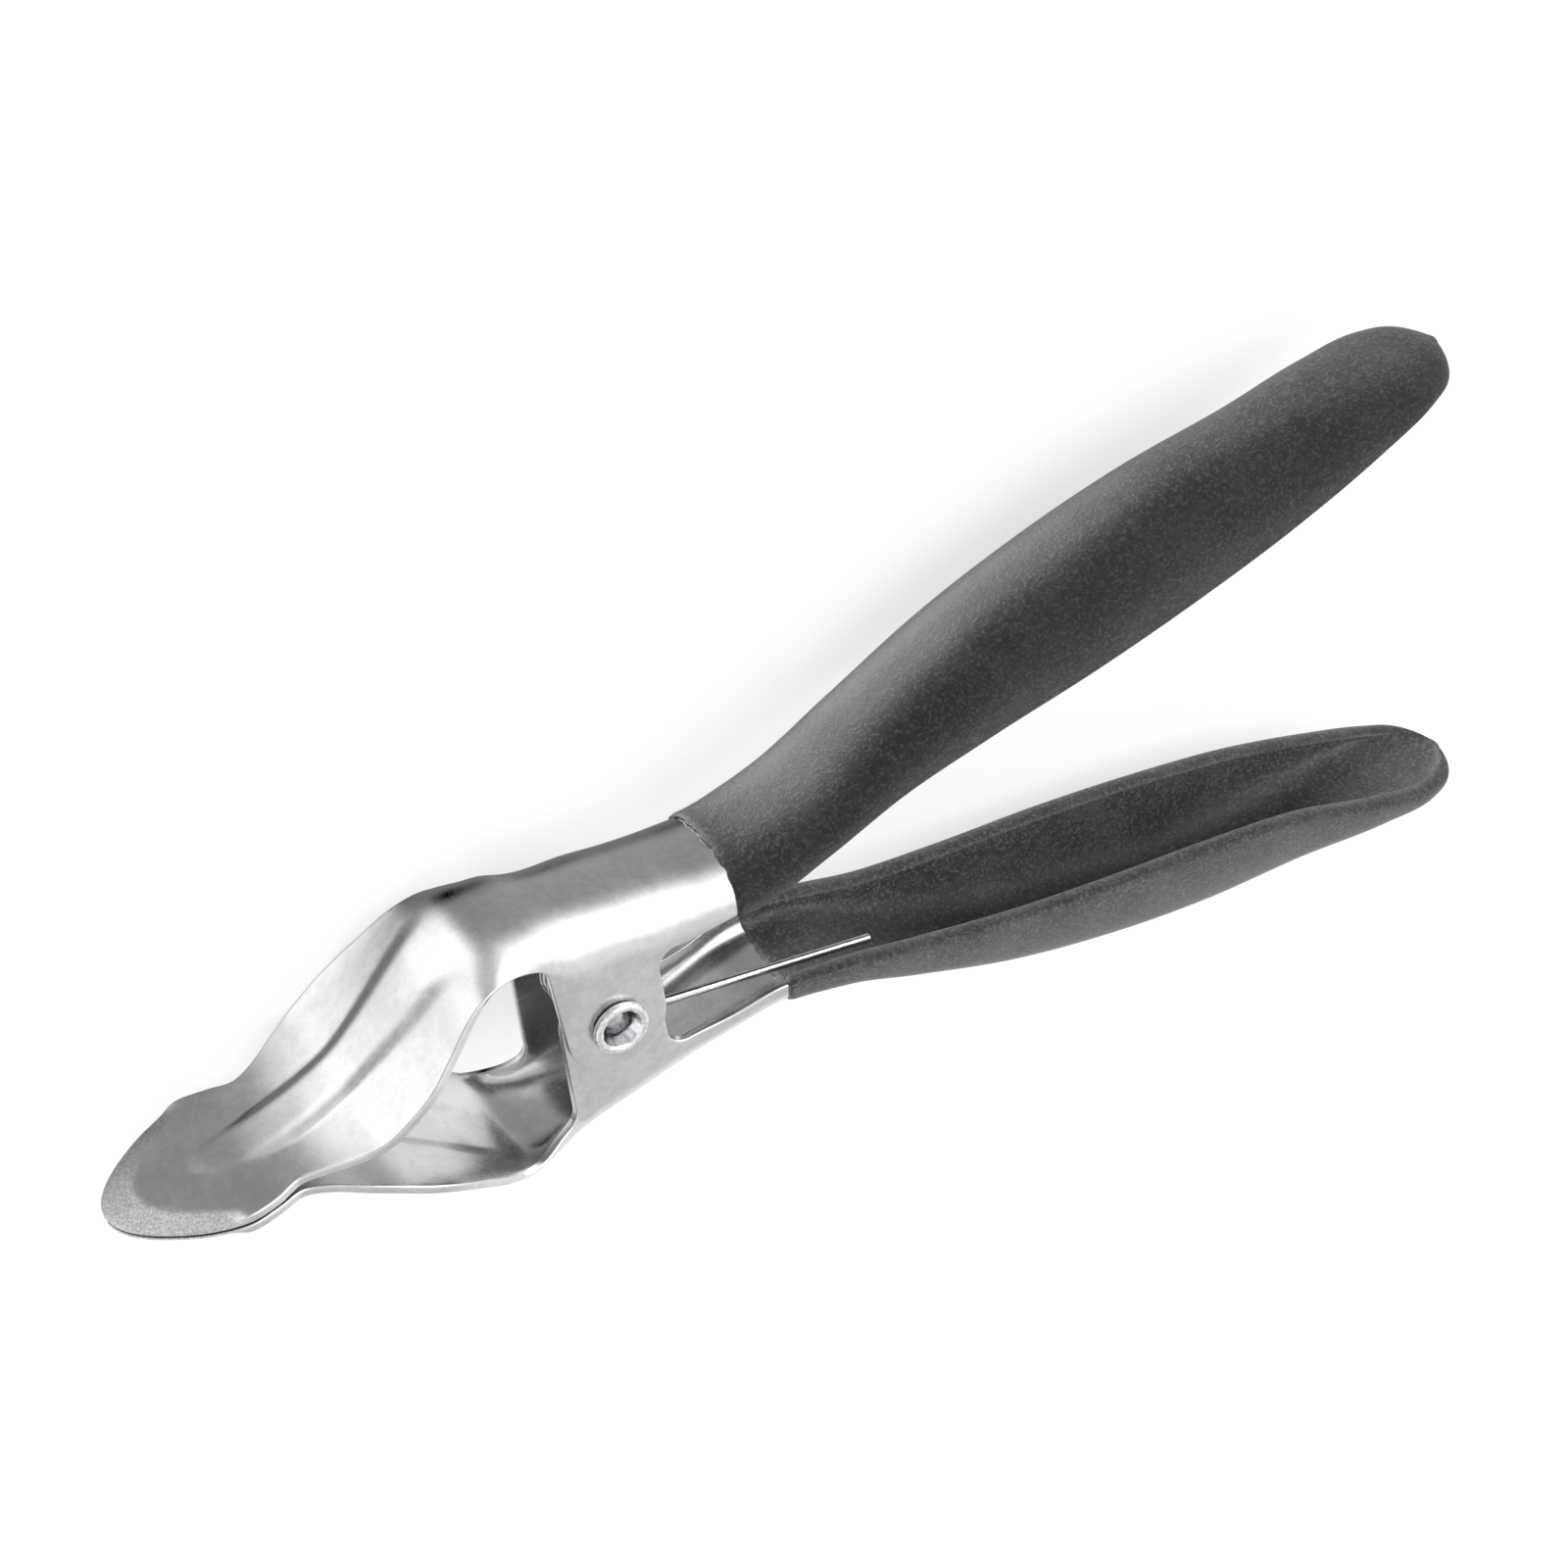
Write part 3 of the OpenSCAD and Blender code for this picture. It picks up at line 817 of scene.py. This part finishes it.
# ---------------------------------------------------------------- rivet
def lathe(profile, count, ripple=None):
    """Closed surface of revolution about the pivot axis from (radius, Z) points that start and end
    on it. ripple gives the share by which a ring's radius changes round it."""
    a = np.linspace(0, 2 * math.pi, count, endpoint=False)
    points = [[0, 0, profile[0][1]], [0, 0, profile[-1][1]]]
    rings = np.array(profile[1:-1])
    for r, z in rings:
        k = 1 + (ripple(r, z, a) if ripple else 0 * a)
        points += np.stack([r * k * np.cos(a), r * k * np.sin(a), np.full_like(a, z)], axis=-1).tolist()
    n = np.arange(count)
    m = (n + 1) % count
    quads = bands(count, len(rings) - 1, 2)
    last = 2 + (len(rings) - 1) * count
    tris = np.concatenate([
        np.stack([np.zeros_like(n), 2 + m, 2 + n], axis=-1),
        np.stack([np.ones_like(n), last + n, last + m], axis=-1),
    ])
    return np.array(points), tris, np.concatenate(quads)


def arc(cx, cy, r, a, b, n):
    """n points on a circle from angle a to angle b, in degrees."""
    t = np.radians(np.linspace(a, b, n))
    return [(cx + r * math.cos(v), cy + r * math.sin(v)) for v in t]


def rivet():
    """Tubular rivet: a domed far head, a shank and a hollow, rolled near end with faint splits."""
    head_gap = 0.15
    head_z = neck_half + head_gap
    roll_r = 3.35
    tube = 0.55
    head_r = 3.6
    head_h = 1.1
    dome_r = 6.5
    edge = 0.18
    hollow = 1.7
    lip = roll_r - tube
    dome_z = dome_r - head_z - head_h
    rim_turn = math.degrees(math.asin((head_r - edge) / dome_r))
    turns = np.radians(np.linspace(0, rim_turn, 16))
    dome = [(dome_r * math.sin(t), dome_z - dome_r * math.cos(t)) for t in turns]
    foot = dome[-1][1] + edge
    profile = dome
    profile += arc(head_r - edge, foot, edge, -60, 0, 5)
    profile += arc(head_r - edge, -head_z - edge, edge, 0, 90, 5)
    profile += [(shank_r, -head_z), (shank_r, head_z - 0.02)]
    profile += [(lip - 0.2, head_z)]
    profile += arc(lip, head_z + tube, tube, -80, 175, 24)
    profile += [(2.05, head_z + 0.1), (1.86, head_z - 0.35), (hollow, head_z - 0.9)]
    profile += [(hollow, 4.6), (hollow - 0.25, 4.15), (0.7, 4.0), (0, 3.95)]

    def ripple(r, z, a):
        splits = 0.012 * np.cos(5 * a + 0.6) + 0.009 * np.cos(11 * a + 2.0)
        return splits * (1.0 if z > head_z - 0.6 and r < lip - 0.1 else 0.0)

    made = lathe(profile, 96, ripple)
    metal = rivet_steel("rolled_steel")
    build("rolled_rivet", *made, metal, "lower", ["pivot_rivet"], "rivet_steel")


rivet()


# ---------------------------------------------------------------- spring
def spring():
    """Torsion spring: a coil round the rivet and two straight legs, one in each handle."""
    wire_r = 0.55
    leg_spread = 6.4
    leg_reach = 34.0
    leg_angle = math.radians(12.7)
    coil_clear = 0.5
    coil_r = shank_r + coil_clear + wire_r
    coil_turn = 2 * math.pi * 3 + math.pi - 2 * leg_angle
    leg_y = coil_r / math.cos(leg_angle)
    sides = 20

    def leg(x, side):
        return [x, side * (leg_y + x * math.tan(leg_angle)), -side * leg_spread / 2]

    run = np.linspace(leg_reach, 1.2, 14)
    turns = np.linspace(0, 1, 170)
    a = math.pi / 2 + leg_angle + coil_turn * turns
    coil = np.stack([coil_r * np.cos(a), coil_r * np.sin(a), leg_spread * (turns - 0.5)], axis=-1)
    line = np.concatenate([[leg(x, 1) for x in run], coil, [leg(x, -1) for x in run[::-1]]])
    tangent = unit(np.gradient(line, axis=0))
    across = unit(np.cross(tangent, [0, 0, 1]))
    other = np.cross(tangent, across)
    turn = np.linspace(0, 2 * math.pi, sides, endpoint=False)
    ends = [(0.0, 0.45), (0.07, 0.8), (0.2, 1.0)]
    rings = []

    def ring(i, r, shift=0.0):
        centre = line[i] + tangent[i] * shift
        size = wire_r * r
        return [centre + size * (math.cos(t) * across[i] + math.sin(t) * other[i]) for t in turn]

    for back, r in ends:
        rings.append(ring(0, r, back))
    rings += [ring(i, 1.0) for i in range(1, len(line) - 1)]
    for back, r in ends[::-1]:
        rings.append(ring(len(line) - 1, r, -back))
    points = np.concatenate([np.array(rings).reshape(-1, 3), [line[0], line[-1]]])
    n = np.arange(sides)
    m = (n + 1) % sides
    quads = np.concatenate(bands(sides, len(rings) - 1))
    last = (len(rings) - 1) * sides
    tip = len(points) - 2
    tris = np.concatenate([
        np.stack([np.full_like(n, tip), m, n], axis=-1),
        np.stack([np.full_like(n, tip + 1), last + n, last + m], axis=-1),
    ])
    metal = wire_steel("drawn_wire")
    nodes = ["torsion_spring"]
    obj = build("spring_wire", points, tris, quads, metal, None, nodes, "spring_wire")
    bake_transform(obj)


spring()


# ---------------------------------------------------------------- camera, floor and light
RIGHT = Vector((0.85442, -0.12279, 0.50486)).normalized()
BACK = Vector((-0.31115, 0.65725, 0.68644)).normalized()
UP = BACK.cross(RIGHT).normalized()
EYE = PIVOT + Vector((-93.169, 269.569, 267.211)) * MM
FOCAL = 80.97


def camera():
    data = bpy.data.cameras.new("camera")
    data.sensor_width = 36.0
    data.lens = FOCAL
    data.clip_start = 0.01
    data.clip_end = 20.0
    obj = bpy.data.objects.new("camera", data)
    bpy.context.scene.collection.objects.link(obj)
    turn = Matrix((RIGHT, UP, BACK)).transposed().to_4x4()
    obj.matrix_world = Matrix.Translation(EYE) @ turn
    bpy.context.scene.camera = obj


def floor():
    size = 3.0
    corners = [(-size, -size, 0), (size, -size, 0), (size, size, 0), (-size, size, 0)]
    mesh = bpy.data.meshes.new("floor")
    mesh.from_pydata(corners, [], [(0, 1, 2, 3)])
    p = Paint("pale_floor")
    colour = p.mix(p.noise(0.02, 2.0), (0.44, 0.44, 0.44), (0.46, 0.46, 0.46))
    p.link(colour, p.shader.inputs["Base Color"])
    p.shader.inputs["Roughness"].default_value = 0.9
    p.shader.inputs["Specular IOR Level"].default_value = 0.1
    p.shader.inputs["Emission Color"].default_value = (1.0, 1.0, 1.0, 1.0)
    p.shader.inputs["Emission Strength"].default_value = 0.58
    mesh.materials.append(p.material)
    obj = bpy.data.objects.new("floor", mesh)
    bpy.context.scene.collection.objects.link(obj)
    obj.visible_glossy = False


# The light tent: panels and dark gaps, each as a direction in the camera's right, up and back, the
# half angles where it is full and where it ends, and how much light it adds or takes away
PANELS = [
    ((-0.03, 0.91, 0.42), 44, 78, 0.75),
    ((-0.15, 0.99, -0.03), 12, 50, -1.5),
    ((-0.10, 0.45, 0.89), 12, 40, -1.1),
    ((-0.86, 0.42, 0.28), 20, 42, 0.25),
    ((-0.73, 0.16, 0.66), 8, 21, -1.1),
    ((0.78, 0.20, 0.59), 18, 44, 0.9),
    ((0.21, -0.97, -0.15), 28, 39, -0.34),
    ((-0.48, 0.43, -0.77), 20, 42, -0.9),
]
AMBIENT = 1.14


def tent():
    """The world's light: an even base with every panel added."""
    world = bpy.data.worlds.new("tent")
    bpy.context.scene.world = world
    world.use_nodes = True
    nodes = world.node_tree.nodes
    links = world.node_tree.links
    where = nodes.new("ShaderNodeTexCoord")
    total = None
    for (r, u, b), full, end, level in PANELS:
        direction = (RIGHT * r + UP * u + BACK * b).normalized()
        dot = nodes.new("ShaderNodeVectorMath")
        dot.operation = "DOT_PRODUCT"
        links.new(where.outputs["Generated"], dot.inputs[0])
        dot.inputs[1].default_value = direction
        soft = nodes.new("ShaderNodeMapRange")
        soft.interpolation_type = "SMOOTHSTEP"
        links.new(dot.outputs["Value"], soft.inputs["Value"])
        soft.inputs["From Min"].default_value = math.cos(math.radians(end))
        soft.inputs["From Max"].default_value = math.cos(math.radians(full))
        soft.inputs["To Min"].default_value = 0.0
        soft.inputs["To Max"].default_value = level
        add = nodes.new("ShaderNodeMath")
        add.operation = "ADD"
        links.new(soft.outputs[0], add.inputs[0])
        if total:
            links.new(total, add.inputs[1])
        else:
            add.inputs[1].default_value = AMBIENT
        total = add.outputs[0]
    links.new(total, nodes["Background"].inputs["Strength"])
    nodes["Background"].inputs["Color"].default_value = (1.0, 1.0, 1.0, 1.0)


def group(name, pieces):
    collection = bpy.data.collections.new(name)
    for piece in pieces:
        collection.objects.link(piece)
    return collection


def grip_light(name, direction, strength, grips):
    """A broad soft light that only the dark coating receives, to bring its edges or inside out."""
    spread = math.radians(50)
    data = bpy.data.lights.new(name, "SUN")
    data.energy = strength
    data.angle = spread
    obj = bpy.data.objects.new(name, data)
    bpy.context.scene.collection.objects.link(obj)
    obj.rotation_mode = "QUATERNION"
    obj.rotation_quaternion = Vector(direction).to_track_quat("Z", "Y")
    obj.light_linking.receiver_collection = group(name + "_on", grips)
    obj.light_linking.blocker_collection = group(name + "_shade", grips)


camera()
floor()
tent()
grip_light("far_edge_light", (-0.2, 0.5, -0.84), 9.0, [upper_grip, lower_grip])
grip_light("near_edge_light", (0.2, -0.8, 0.56), 1.8, [upper_grip, lower_grip])
grip_light("channel_light", (0.1, 0.45, 0.89), 6.0, [lower_grip])
bpy.context.scene.view_settings.view_transform = "Standard"
